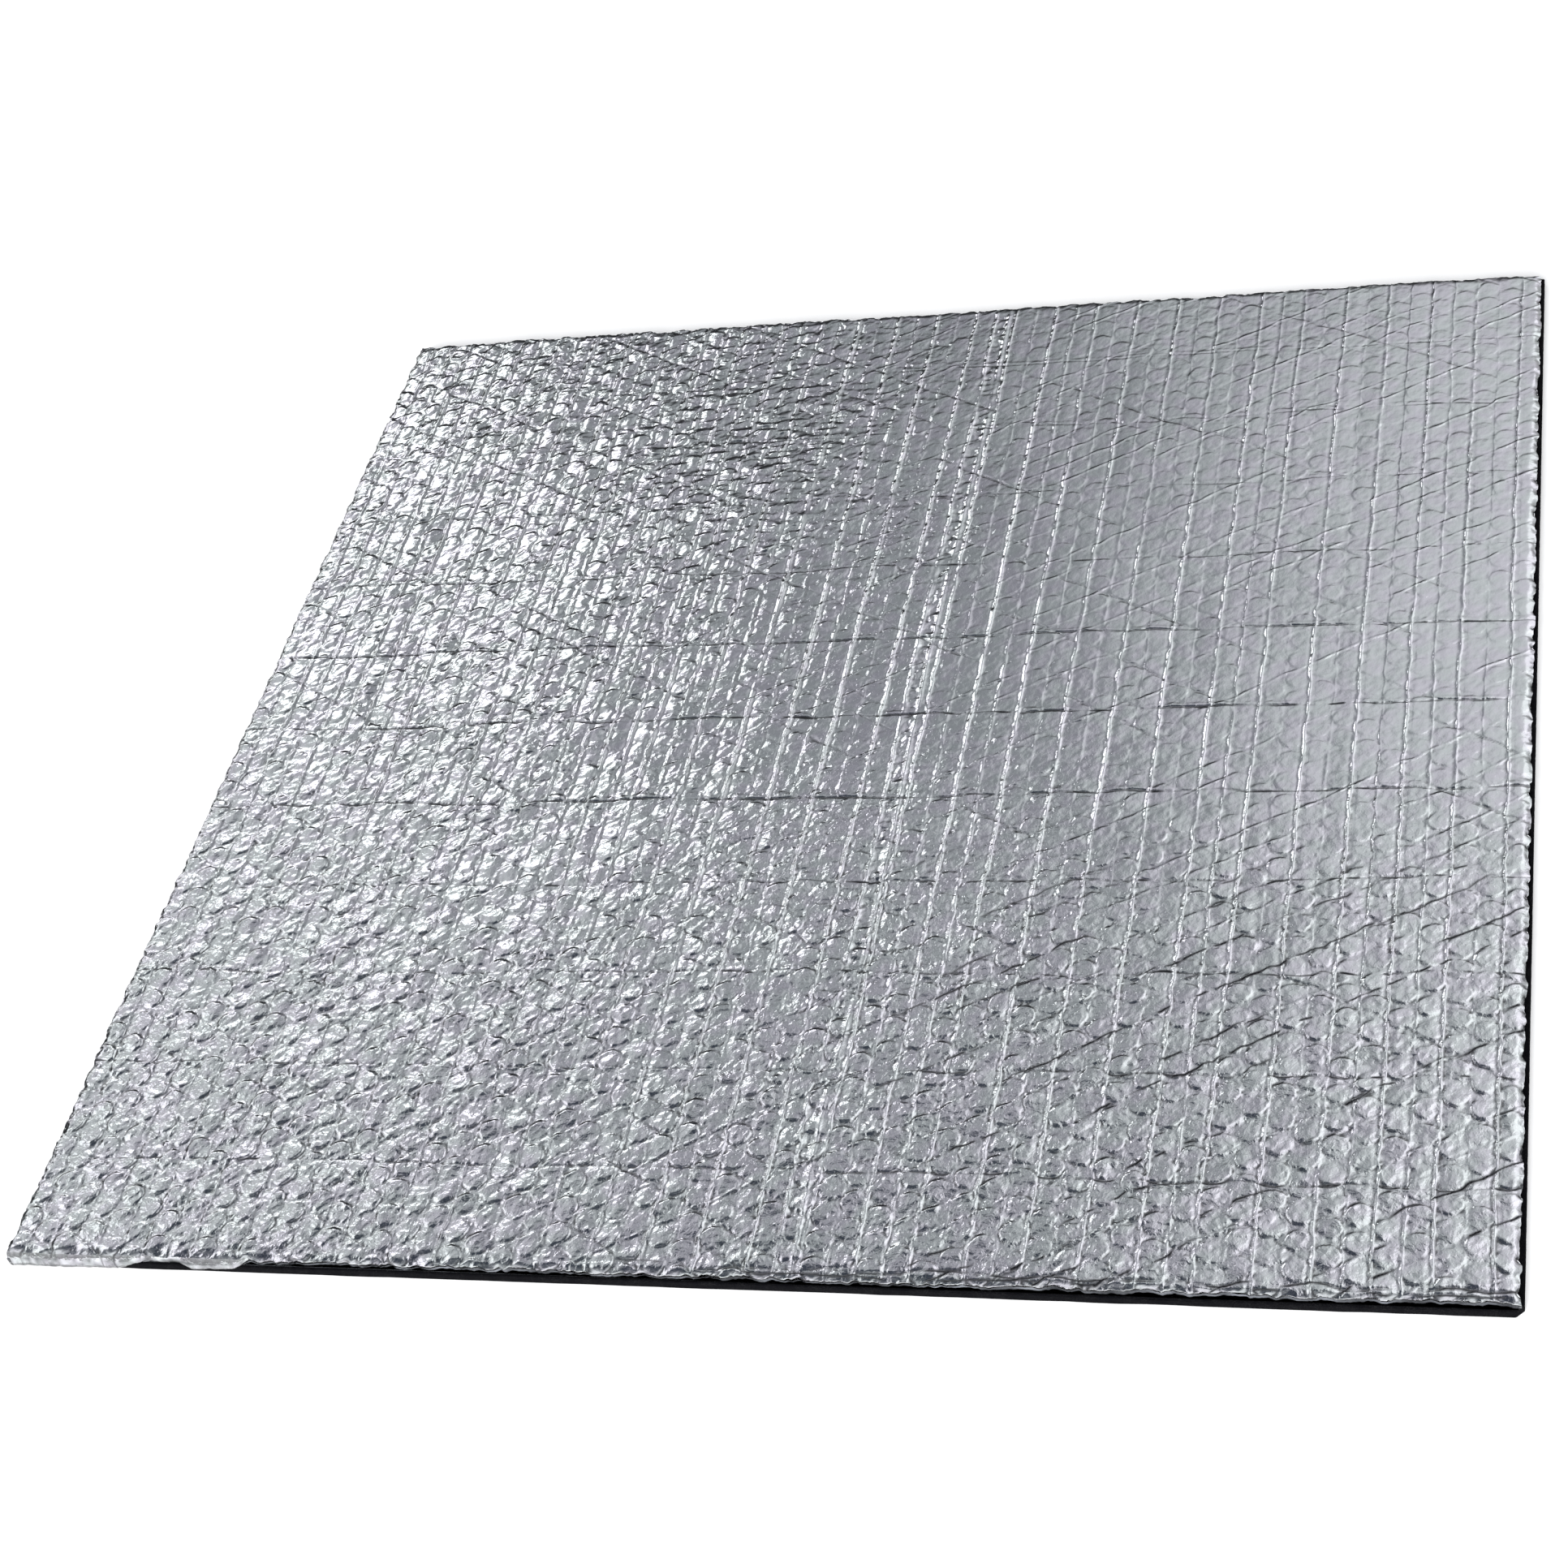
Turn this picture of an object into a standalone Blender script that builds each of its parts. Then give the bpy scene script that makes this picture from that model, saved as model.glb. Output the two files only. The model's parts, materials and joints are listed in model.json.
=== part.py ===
"""Foil-faced bubble and foam sleeping pad, lying flat with the foil side up.

The pad is a laminate of four layers: a black closed-cell foam base, a flat film
that seals the air cells, the moulded bubble film and the foil facing. It packs
down on eleven evenly spaced cross creases, like a fan, so each layer is made in
twelve panels. The creases turn by turns about an axis over the foil and an axis
under the foam, and all of them close together.

Frame: +Z is up, +Y runs from the front edge to the back edge, and the origin is
the centre of the underside. Lengths are in metres.
"""

import bmesh
import bpy

# Driving dimensions
WIDTH = 0.500
DEPTH = 0.500
PANEL_COUNT = 12
FOAM_THICKNESS = 0.0032
SEAL_FILM_THICKNESS = 0.0003
BUBBLE_THICKNESS = 0.0028
FOIL_THICKNESS = 0.0003

# Clearances
LAYER_GAP = 0.0003  # between two layers that lie on each other
CREASE_GAP = 0.0006  # between the panels at a crease, which keeps them free to turn
AXIS_CLEARANCE = 0.0006  # from a crease's axis to the face that folds inwards
FACING_INSET = 0.0010  # the foam stands out past the upper layers at the pad's edges
CORNER_CUT = 0.0025  # the clipped front right corner of the foam

PANEL_PITCH = DEPTH / PANEL_COUNT

# Name, thickness, inset at the pad's edges, colour, roughness, metallic, from the bottom up
LAYERS = (
    ("foam_base", FOAM_THICKNESS, 0.0, (0.012, 0.012, 0.014), 0.85, 0.0),
    ("seal_film", SEAL_FILM_THICKNESS, FACING_INSET, (0.70, 0.72, 0.75), 0.30, 0.0),
    ("bubble_film", BUBBLE_THICKNESS, FACING_INSET, (0.62, 0.66, 0.70), 0.20, 0.0),
    ("foil_facing", FOIL_THICKNESS, FACING_INSET, (0.78, 0.79, 0.82), 0.22, 1.0),
)
PAD_HEIGHT = sum(layer[1] for layer in LAYERS) + LAYER_GAP * (len(LAYERS) - 1)


def clear_scene():
    """Start from an empty scene."""
    for item in list(bpy.data.objects):
        bpy.data.objects.remove(item)


def make_material(name, colour, roughness, metallic):
    """A Principled material of one finish."""
    material = bpy.data.materials.new(name)
    material.use_nodes = True
    shader = material.node_tree.nodes["Principled BSDF"]
    shader.inputs["Base Color"].default_value = (*colour, 1.0)
    shader.inputs["Roughness"].default_value = roughness
    shader.inputs["Metallic"].default_value = metallic
    material.diffuse_color = (*colour, 1.0)
    return material


def make_slab(name, outline, bottom, thickness, material):
    """A closed slab: a flat outline, counterclockwise from above, raised by its thickness."""
    mesh = bpy.data.meshes.new(name)
    shape = bmesh.new()
    corners = [shape.verts.new((x, y, bottom)) for x, y in outline]
    base = shape.faces.new(corners)
    raised = bmesh.ops.extrude_face_region(shape, geom=[base])
    top = [item for item in raised["geom"] if isinstance(item, bmesh.types.BMVert)]
    bmesh.ops.translate(shape, verts=top, vec=(0.0, 0.0, thickness))
    bmesh.ops.recalc_face_normals(shape, faces=shape.faces)
    shape.to_mesh(mesh)
    shape.free()
    mesh.materials.append(material)
    slab = bpy.data.objects.new(name, mesh)
    bpy.context.scene.collection.objects.link(slab)
    return slab


def panel_span(index, inset):
    """Front and back of a panel in y: inset at the pad's own edges, half the gap at a crease."""
    front = -DEPTH / 2 + index * PANEL_PITCH
    back = front + PANEL_PITCH
    at_front = inset if index == 0 else CREASE_GAP / 2
    at_back = inset if index == PANEL_COUNT - 1 else CREASE_GAP / 2
    return front + at_front, back - at_back


def panel_outline(index, inset, corner_cut):
    """A panel's outline from above. The front right corner of the pad may be cut off."""
    side = WIDTH / 2 - inset
    front, back = panel_span(index, inset)
    outline = [(-side, front)]
    if corner_cut and index == 0:
        outline += [(side - corner_cut, front), (side, front + corner_cut)]
    else:
        outline += [(side, front)]
    return outline + [(side, back), (-side, back)]


def axis_height(index):
    """Height of the axis at a panel's front crease: over the foil and under the foam by turns."""
    return PAD_HEIGHT + AXIS_CLEARANCE if index % 2 else -AXIS_CLEARANCE


def make_hinge_frame(index, previous, previous_place):
    """The empty that a panel hangs on, placed on the axis of its front crease."""
    frame = bpy.data.objects.new(f"panel_{index + 1:02d}", None)
    frame.empty_display_size = PANEL_PITCH / 4
    bpy.context.scene.collection.objects.link(frame)
    if index == 0:
        place = (0.0, 0.0, 0.0)
    else:
        place = (0.0, -DEPTH / 2 + index * PANEL_PITCH, axis_height(index))
    frame.parent = previous
    frame.location = [a - b for a, b in zip(place, previous_place)]
    return frame, place


def make_panel(index, frame, place, materials):
    """The four layers of one panel, stacked with a small gap and hung on its hinge frame."""
    bottom = 0.0
    for name, thickness, inset, *_ in LAYERS:
        corner_cut = CORNER_CUT if name == "foam_base" else 0.0
        outline = [(x - place[0], y - place[1]) for x, y in panel_outline(index, inset, corner_cut)]
        slab_name = f"{name}_{index + 1:02d}"
        slab = make_slab(slab_name, outline, bottom - place[2], thickness, materials[name])
        slab.parent = frame
        bottom += thickness + LAYER_GAP


def build():
    """The whole pad: one chain of panels, each hinged to the one in front of it."""
    clear_scene()
    materials = {}
    for name, _, _, colour, roughness, metallic in LAYERS:
        materials[name] = make_material(name, colour, roughness, metallic)
    frame = None
    place = (0.0, 0.0, 0.0)
    for index in range(PANEL_COUNT):
        frame, place = make_hinge_frame(index, frame, place)
        make_panel(index, frame, place, materials)


build()
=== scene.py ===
"""Looks of the folding foil-faced sleeping pad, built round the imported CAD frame. Lengths are in metres."""

import json
import math

import bpy
import numpy as np
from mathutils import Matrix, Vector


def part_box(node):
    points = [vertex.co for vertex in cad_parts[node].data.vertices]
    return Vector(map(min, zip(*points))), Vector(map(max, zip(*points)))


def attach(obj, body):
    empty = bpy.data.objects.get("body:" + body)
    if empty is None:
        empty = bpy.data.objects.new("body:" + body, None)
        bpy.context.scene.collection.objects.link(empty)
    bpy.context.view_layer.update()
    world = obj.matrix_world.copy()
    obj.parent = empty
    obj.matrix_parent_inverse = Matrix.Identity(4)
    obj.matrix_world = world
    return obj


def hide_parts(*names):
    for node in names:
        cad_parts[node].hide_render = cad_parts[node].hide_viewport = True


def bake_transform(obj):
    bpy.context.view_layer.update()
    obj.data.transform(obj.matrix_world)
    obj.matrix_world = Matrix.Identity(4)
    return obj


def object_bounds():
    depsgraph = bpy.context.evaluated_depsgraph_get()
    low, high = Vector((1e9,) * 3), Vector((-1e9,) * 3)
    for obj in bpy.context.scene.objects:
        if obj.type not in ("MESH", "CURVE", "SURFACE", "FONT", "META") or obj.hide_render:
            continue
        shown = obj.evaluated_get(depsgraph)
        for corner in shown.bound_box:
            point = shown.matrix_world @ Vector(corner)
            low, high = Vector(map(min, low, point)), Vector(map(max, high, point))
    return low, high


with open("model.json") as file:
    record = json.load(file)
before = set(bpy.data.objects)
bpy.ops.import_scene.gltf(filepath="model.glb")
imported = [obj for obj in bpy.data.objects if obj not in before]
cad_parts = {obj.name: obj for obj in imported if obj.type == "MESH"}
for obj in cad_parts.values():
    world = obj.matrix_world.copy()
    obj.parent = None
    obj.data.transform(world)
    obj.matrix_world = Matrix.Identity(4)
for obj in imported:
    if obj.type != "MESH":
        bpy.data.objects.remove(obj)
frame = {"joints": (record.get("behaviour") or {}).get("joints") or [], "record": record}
cad_low, cad_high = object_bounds()

MM = 0.001

# --- Sizes that come from the frame ---
WIDTH = cad_high.x - cad_low.x
PAD_HEIGHT = cad_high.z - cad_low.z
FOAM_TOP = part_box("foam_base_01")[1].z
FOAM_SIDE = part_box("foam_base_01")[1].x  # half the foam's width
FOAM_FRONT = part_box("foam_base_01")[0].y
FOAM_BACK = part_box("foam_base_12")[1].y
FACING_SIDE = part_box("foil_facing_01")[1].x  # half the foil's width
FACING_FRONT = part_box("foil_facing_01")[0].y
FACING_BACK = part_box("foil_facing_12")[1].y
CREASES = [joint["pos_m"][1] for joint in frame["joints"]]
PANEL_PITCH = CREASES[1] - CREASES[0]
BODIES = list(frame["record"]["behaviour"]["bodies"])
CUTS = [CREASES[0] - PANEL_PITCH / 2] + [y + PANEL_PITCH / 2 for y in CREASES]
UPPER_LAYERS = ("foil_facing", "bubble_film", "seal_film")

# --- Bubble lattice: columns run from front to back, and each next one is half a bubble further ---
COLUMNS = 57
COLUMN_PITCH = WIDTH / COLUMNS
BUBBLE_PITCH = COLUMN_PITCH * 2 / math.sqrt(3)
LATTICE_X = cad_low.x + COLUMN_PITCH / 2
LATTICE_Y = cad_low.y + BUBBLE_PITCH / 2
BUBBLE_RADIUS = 4.2 * MM
SHEET_LEVEL = 3.35 * MM  # the sheet between bubbles, above the foam
HIGHEST = PAD_HEIGHT + 0.2 * MM  # ridges stop below the axes of the creases

# --- Grid: fine next to seams and creases, even in between ---
FINE_STEPS = (0.0, 0.30 * MM, 0.65 * MM, 1.05 * MM)
EVEN_STEP = 0.53 * MM
BEND = 9.0 * MM  # how far each side of a crease the laminate bends


# ---------------------------------------------------------------- noise

def smoothstep(low, high, value):
    t = np.clip((value - low) / (high - low), 0.0, 1.0)
    return t * t * (3 - 2 * t)


def noise_table(seed):
    return np.random.default_rng(seed).uniform(-1.0, 1.0, (256, 256))


def smooth_noise(x, y, size, seed):
    """Soft noise from -1 to 1, with features of the given size."""
    table = noise_table(seed)
    u, v = x / size + 100.0, y / size + 100.0
    iu, iv = np.floor(u).astype(int), np.floor(v).astype(int)
    fu, fv = u - iu, v - iv
    fu, fv = fu * fu * (3 - 2 * fu), fv * fv * (3 - 2 * fv)
    a, b = table[iu % 256, iv % 256], table[(iu + 1) % 256, iv % 256]
    c, d = table[iu % 256, (iv + 1) % 256], table[(iu + 1) % 256, (iv + 1) % 256]
    return (a * (1 - fu) + b * fu) * (1 - fv) + (c * (1 - fu) + d * fu) * fv


def line_noise(run, line, size, seed):
    """Soft noise along a line, different for each line number."""
    table = noise_table(seed)
    u = run / size + 100.0
    iu = np.floor(u).astype(int)
    fu = u - iu
    fu = fu * fu * (3 - 2 * fu)
    row = line.astype(int) % 256
    return table[iu % 256, row] * (1 - fu) + table[(iu + 1) % 256, row] * fu


def facet_noise(x, y, size, seed, turn=0.0, warp=0.35):
    """Noise from -1 to 1 made of flat triangles with sharp edges, like crumpled foil."""
    wx = x + warp * size * smooth_noise(x, y, size * 1.3, seed + 1)
    wy = y + warp * size * smooth_noise(x, y, size * 1.3, seed + 2)
    c, s = math.cos(turn), math.sin(turn)
    u, v = (wx * c - wy * s) / size + 300.0, (wx * s + wy * c) / size + 300.0
    v = v * 2 / math.sqrt(3)
    u = u - v / 2
    iu, iv = np.floor(u).astype(int), np.floor(v).astype(int)
    fu, fv = u - iu, v - iv
    table = noise_table(seed)
    upper = fu + fv > 1
    far = table[(iu + 1) % 256, (iv + 1) % 256]
    near = table[iu % 256, iv % 256]
    right, back = table[(iu + 1) % 256, iv % 256], table[iu % 256, (iv + 1) % 256]
    low_half = near + fu * (right - near) + fv * (back - near)
    high_half = far + (1 - fu) * (back - far) + (1 - fv) * (right - far)
    return np.where(upper, high_half, low_half)


def tent(across, half_width):
    """A straight-sided ridge of height 1."""
    return np.clip(1 - np.abs(across) / half_width, 0, 1)


# ---------------------------------------------------------------- how the pad differs by place

def leftness(x):
    return smoothstep(0.03, -0.12, x)


def frontness(y):
    return smoothstep(0.02, -0.16, y)


def calmness(x, y):
    """From 1 in the calm right back quarter to 0."""
    return smoothstep(-0.03, 0.09, x) * smoothstep(-0.12, 0.05, y)


def streaky_patch(x, y):
    """A patch left of the middle at the back, where the foil is streaked with wrinkles."""
    return np.exp(-(((x + 0.065) / 0.055) ** 2) - ((y - 0.17) / 0.075) ** 2)


def crumple(x, y):
    """How crumpled the foil is."""
    patchy = 0.85 + 0.30 * smooth_noise(x, y, 42 * MM, 61)
    return patchy * (1.0 - 0.52 * calmness(x, y))


# ---------------------------------------------------------------- relief of the foil

def turned(x, y, slope):
    """Places measured along a slope and across it."""
    c, s = math.cos(slope), math.sin(slope)
    return c * x + s * y, c * y - s * x


def column_number(x):
    return np.floor((x - cad_low.x) / COLUMN_PITCH)


def nearest_seam(x):
    """Number of the nearest seam between columns, and the offset from it."""
    index = np.round((x - cad_low.x) / COLUMN_PITCH)
    return index, x - (cad_low.x + index * COLUMN_PITCH)


def nearest_bubble(x, y):
    """Offset from the nearest bubble's centre, and that bubble's column and row."""
    column = column_number(x).astype(int)
    best = None
    for step in (-1, 0, 1):
        c = column + step
        dx = x - (LATTICE_X + c * COLUMN_PITCH)
        start = LATTICE_Y + (c % 2) * BUBBLE_PITCH / 2
        row = np.round((y - start) / BUBBLE_PITCH).astype(int)
        dy = y - (start + row * BUBBLE_PITCH)
        d2 = dx * dx + dy * dy
        if best is None:
            best = [d2, dx, dy, c, row]
            continue
        closer = d2 < best[0]
        for i, value in enumerate((d2, dx, dy, c, row)):
            best[i] = np.where(closer, value, best[i])
    return best[1:]


def bubbles(x, y):
    """Flattened round bubbles, each with its own tilt and dent: pillows on the left, faint discs behind."""
    dx, dy, column, row = nearest_bubble(x, y)
    pick = (column % 256, row % 256)
    left, front, calm = leftness(x), frontness(y), calmness(x, y)
    drop = (0.045 + 0.03 * calm + 0.12 * np.maximum(front, 0.30 * left)) * MM
    dome = (0.01 + 0.03 * left + 0.05 * front) * MM
    lively = 0.30 + 0.70 * np.maximum(left, front * 0.8) - 0.10 * calm
    tilt_x, tilt_y = noise_table(11)[pick] * 0.055 * lively, noise_table(12)[pick] * 0.055 * lively
    rise = 1.0 + 0.35 * noise_table(13)[pick]
    dent_x, dent_y = noise_table(14)[pick] * 2.2 * MM, noise_table(15)[pick] * 2.2 * MM
    dent = np.clip(noise_table(16)[pick], 0, 1) * 0.22 * MM * lively
    u = np.sqrt(dx * dx + dy * dy) / BUBBLE_RADIUS
    cap = smoothstep(1.08, 0.88, u)
    hollow = np.exp(-((dx - dent_x) ** 2 + (dy - dent_y) ** 2) / (1.5 * MM) ** 2)
    top = drop * rise + dome * (1 - u * u) + tilt_x * dx + tilt_y * dy - dent * hollow
    return cap * top, cap


PILLOW_HEIGHT = 0.13 * MM


def column_pillows(x, y):
    """Each column of the left part swells between its seams."""
    across = (x - cad_low.x) % COLUMN_PITCH - COLUMN_PITCH / 2
    uneven = 1.0 + 0.5 * line_noise(y, column_number(x), 12 * MM, 27)
    share = leftness(x) * (1 - 0.7 * frontness(y))
    return PILLOW_HEIGHT * share * uneven * (1 - (2 * across / COLUMN_PITCH) ** 2)


SEAM_HEIGHT, SEAM_GROOVE = 0.29 * MM, 0.06 * MM


def seams(x, y):
    """Thin pinched ridges between the columns, high at every second one."""
    index, across = nearest_seam(x)
    left = leftness(x)
    weak = 0.38 + 0.22 * noise_table(24)[index.astype(int) % 256, 3] + 0.34 * left
    strong = np.where(index % 2 == 0, 1.0, weak)
    along = 0.90 + 0.30 * line_noise(y, index, 26 * MM, 22) + 0.28 * line_noise(y, index, 4 * MM, 23)
    corner = leftness(x) * frontness(y)
    strength = strong * np.clip(along, 0.15 + 0.25 * left, 1.4)
    strength = strength * (1.0 - 0.35 * calmness(x, y)) * (1.0 - 0.6 * corner)
    ridge = SEAM_HEIGHT * tent(across, np.where(across > 0, 0.65 + 0.75 * left * (1 - corner), 0.90) * MM)
    groove = SEAM_GROOVE * tent(np.abs(across) - 1.5 * MM, 0.7 * MM)
    return strength * (ridge - groove)


def diagonal_lines(x, y, slope):
    """Lines between slanting rows of bubbles: line number, offset from the line and run along it."""
    c, s = math.cos(slope), math.sin(slope)
    offset = -s * LATTICE_X + c * LATTICE_Y + COLUMN_PITCH / 2
    run = c * x + s * y
    wander = 1.6 * MM * smooth_noise(x, y, 70 * MM, 29)
    place = (-s * x + c * y - offset + wander) / COLUMN_PITCH
    index = np.round(place)
    across = (place - index) * COLUMN_PITCH - 0.75 * MM * line_noise(run, index, 7 * MM, 30)
    return index, across, run


def diagonal_creases(x, y, slope, seed, share, height):
    """Creases along some of the slanting lines, each in broken stretches."""
    index, across, run = diagonal_lines(x, y, slope)
    rank = noise_table(seed + 1)[index.astype(int) % 256, 0]
    strength = smoothstep(1 - 2 * share, 1.4 - 2 * share, rank) * 0.85 + 0.15
    gate = smoothstep(-0.25, 0.35, line_noise(run, index, 45 * MM, seed + 2))
    broken = np.clip(0.8 + 0.5 * line_noise(run, index, 5 * MM, seed + 3), 0, 1.3)
    return strength * gate * broken * height * tent(across, 0.62 * MM)


def crease_lines(y):
    """Fold lines of the panels: line number and offset from it. The grid itself wanders with them."""
    index = np.clip(np.round((y - CREASES[0]) / PANEL_PITCH), 0, len(CREASES) - 1)
    return index, y - (CREASES[0] + index * PANEL_PITCH)


# By crease, from the front to the back
CREASE_STRENGTH = np.array([0.55, 0.45, 0.55, 0.60, 1.00, 1.15, 0.85, 0.55, 0.50, 0.45, 0.45])
# How strongly shade is painted into the fold line of each crease
CREASE_PAINTED_SHADE = np.array([0.10, 0.15, 0.30, 0.40, 0.62, 0.78, 0.50, 0.30, 0.20, 0.15, 0.15])
CREASE_DEPTH, SHOULDER_HEIGHT = 0.16 * MM, 0.10 * MM


def cross_creases(x, y):
    """Narrow valleys with a low shoulder towards the back, in broken stretches."""
    index, across = crease_lines(y)
    strong = CREASE_STRENGTH[index.astype(int)]
    broken = np.clip(0.65 + 0.7 * line_noise(x, index, 9 * MM, 43), 0.1, 1.2)
    valley = -CREASE_DEPTH * tent(across, 0.65 * MM)
    shoulder = SHOULDER_HEIGHT * tent(across - 1.4 * MM, 1.1 * MM)
    return strong * broken * (valley + shoulder)


LONG_CREASE_X = 0.025
LONG_CREASE_HEIGHT, LONG_CREASE_DEPTH = 0.26 * MM, 0.16 * MM


def long_crease(x, y):
    """One old fold from front to back, right of the middle: two ridges with crushed foil between."""
    line = LONG_CREASE_X + 1.2 * MM * smooth_noise(y, y * 0, 60 * MM, 51)
    across = x - line
    body = np.clip(0.75 + 0.6 * smooth_noise(y, y * 0, 14 * MM, 52), 0, 1.3)
    ridge = tent(across - 2.8 * MM, 0.9 * MM) + 0.8 * tent(across + 2.9 * MM, 0.9 * MM)
    inside = np.exp(-((across / (3.0 * MM)) ** 2))
    crushed = inside * 0.20 * MM * facet_noise(x, y, 2.0 * MM, 53)
    return LONG_CREASE_HEIGHT * ridge * body + crushed - LONG_CREASE_DEPTH * inside


RIM_FOLD = 3.3 * MM  # from the front edge
RIM_FOLD_DEPTH = 0.34 * MM


def rim_line(x):
    """Distance of the rim fold from the front edge, which wanders."""
    return RIM_FOLD + 1.5 * MM * smooth_noise(x, x * 0, 10 * MM, 55)


def rim_folds(x, y):
    """Small folds along the front edge, where the foil is pressed down."""
    depth = RIM_FOLD_DEPTH * np.clip(0.5 + smooth_noise(x, x * 0, 9 * MM, 56), 0, 1.3)
    return -depth * tent(y - FACING_FRONT - rim_line(x), 0.8 * MM) * (1 - leftness(x))


WRINKLE_SLOPE = math.radians(48)


def crinkles(x, y, cap):
    """Small creases all over, with wrinkles across the gaps between bubbles."""
    left = leftness(x)
    coarse = (0.075 + 0.040 * left + 0.030 * frontness(y)) * MM * facet_noise(x, y, 3.1 * MM, 71, turn=0.4)
    fine = (0.042 + 0.036 * frontness(y)) * MM * facet_noise(x, y, 1.55 * MM, 74, turn=1.1)
    folds = -0.07 * MM * np.abs(smooth_noise(x, y, 3.4 * MM, 77))
    across = 0.058 * MM * facet_noise(x * 0.3, y, 1.25 * MM, 80, warp=0.2) * (1.0 - 0.4 * cap)
    along, side = turned(x, y, WRINKLE_SLOPE)
    slanting = (0.056 + 0.03 * left) * MM * facet_noise(along * 0.3, side, 1.35 * MM, 87, warp=0.25)
    streaks = 0.26 * MM * facet_noise(x * 0.35, y, 2.1 * MM, 83, warp=0.3) * streaky_patch(x, y)
    return (coarse * (0.8 + 0.4 * (1 - cap)) + fine + folds + across + slanting) * crumple(x, y) + streaks


def swell(x, y):
    """Slow waves of the whole sheet, and a small lean of each column."""
    wide = 0.34 * MM * smooth_noise(x, y, 62 * MM, 91)
    middle = 0.10 * MM * smooth_noise(x, y, 24 * MM, 92)
    column = column_number(x)
    lean = noise_table(93)[column.astype(int) % 256, 0] * 0.022
    lean = lean * (0.5 + 0.5 * line_noise(y, column, 40 * MM, 94))
    centre = x - (LATTICE_X + column * COLUMN_PITCH)
    return wide + middle + lean * centre


RISING, FALLING = math.radians(30), math.radians(-30)


def foil_height(x, y):
    """Height of the foil over the ground."""
    pillow, cap = bubbles(x, y)
    right = 1 - leftness(x)
    corner = leftness(x) * frontness(y)
    z = FOAM_TOP + SHEET_LEVEL + pillow + column_pillows(x, y) + swell(x, y) + seams(x, y)
    z = z + diagonal_creases(x, y, RISING, 31, 0.65, 0.22 * MM) * (0.55 + 0.45 * right)
    z = z + diagonal_creases(x, y, FALLING, 36, 0.50, -0.19 * MM) * (1.0 - 0.5 * corner)
    z = z + diagonal_creases(x, y, FALLING, 46, 0.55, 0.24 * MM) * corner
    z = z + cross_creases(x, y) + long_crease(x, y) + rim_folds(x, y) + crinkles(x, y, cap)
    return np.minimum(z, HIGHEST)


# Painted shade: the foil's colour is darkened where its folds and hollows lie in shade
def crease_painted_shade(x, y):
    """Painted shade in broken lines along the sharp folds of the creases, and in small arcs at the front
    right, from 0 to 1.
    """
    index, across = crease_lines(y)
    strong = CREASE_PAINTED_SHADE[index.astype(int)]
    seam = np.abs((x - cad_low.x + COLUMN_PITCH) % (2 * COLUMN_PITCH) - COLUMN_PITCH)
    gate = smoothstep(0.30, 0.80, line_noise(x, index, 5.5 * MM, 44) * 0.8 + strong * 0.62 - 0.05)
    gate = gate * smoothstep(0.3 * MM, 1.4 * MM, seam)
    line = tent(across, (0.45 + 0.35 * line_noise(x, index, 4 * MM, 47)) * MM) * gate
    phase = ((x - cad_low.x) / (2 * COLUMN_PITCH)) % 1.0
    bow = 0.7 * MM * (1 - ((phase - 0.2) / 0.2) ** 2)
    shade_arc = tent(across + bow, 0.55 * MM) * smoothstep(0.22, 0.16, np.abs(phase - 0.2))
    shade_arc = shade_arc * smoothstep(0.02, 0.10, x) * np.where(index <= 1, 1.0, 0.0)
    shade_arc = shade_arc * smoothstep(-0.5, 0.0, line_noise(x, index, 14 * MM, 45) + 0.4 * (index == 0))
    return np.maximum(line, shade_arc)


def slant_painted_shade(x, y):
    """Long lines of painted shade in folds that rise to the right in the front right part."""
    index, across, run = diagonal_lines(x, y, RISING)
    rank = noise_table(57)[index.astype(int) % 256, 0]
    gate = smoothstep(0.1, 0.5, line_noise(run, index, 30 * MM, 58) + rank * 0.9)
    broken = smoothstep(-0.55, 0.0, line_noise(run, index, 3.5 * MM, 59))
    place = smoothstep(-0.02, 0.10, x) * smoothstep(-0.04, -0.12, y)
    across = across - 0.5 * MM * line_noise(run, index, 3.2 * MM, 60)
    return tent(across, (0.62 + 0.25 * line_noise(run, index, 5 * MM, 64)) * MM) * gate * broken * place


def fall_painted_shade(x, y):
    """Fine lines of painted shade in folds that fall to the right in the left part."""
    index, across, run = diagonal_lines(x, y, FALLING)
    rank = noise_table(66)[index.astype(int) % 256, 0]
    gate = smoothstep(0.0, 0.4, line_noise(run, index, 38 * MM, 67) + rank * 0.9)
    broken = smoothstep(-0.7, 0.0, line_noise(run, index, 4 * MM, 68))
    line = 0.55 * tent(across, 0.45 * MM) * gate * broken
    return line * smoothstep(0.06, -0.04, x) * (1 - 0.6 * frontness(y))


def seam_painted_shade(x, y):
    """Dull bands of painted shade, which stand for a dark reflection, on the right flank of the seams in the
    left part.
    """
    index, across = nearest_seam(x)
    along = np.clip(0.8 + 0.5 * line_noise(y, index, 9 * MM, 69), 0, 1)
    place = smoothstep(0.03, -0.05, x) * (1 - 0.5 * frontness(y))
    return 0.30 * smoothstep(0.85 * MM, 0.45 * MM, np.abs(across - 0.75 * MM)) * along * place


def rim_painted_shade(x, y):
    """Lines of painted shade in the folds next to the front edge."""
    inside = y - FACING_FRONT
    first = tent(inside - rim_line(x), 0.6 * MM)
    first = first * smoothstep(-0.1, 0.3, smooth_noise(x, x * 0, 11 * MM, 62))
    second = tent(inside - 1.4 * MM - 0.6 * MM * smooth_noise(x, x * 0, 6 * MM, 65), 0.5 * MM)
    second = second * smoothstep(0.0, 0.4, smooth_noise(x, x * 0, 8 * MM, 63))
    return np.maximum(first, second) * smoothstep(-0.06, 0.02, x)


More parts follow.
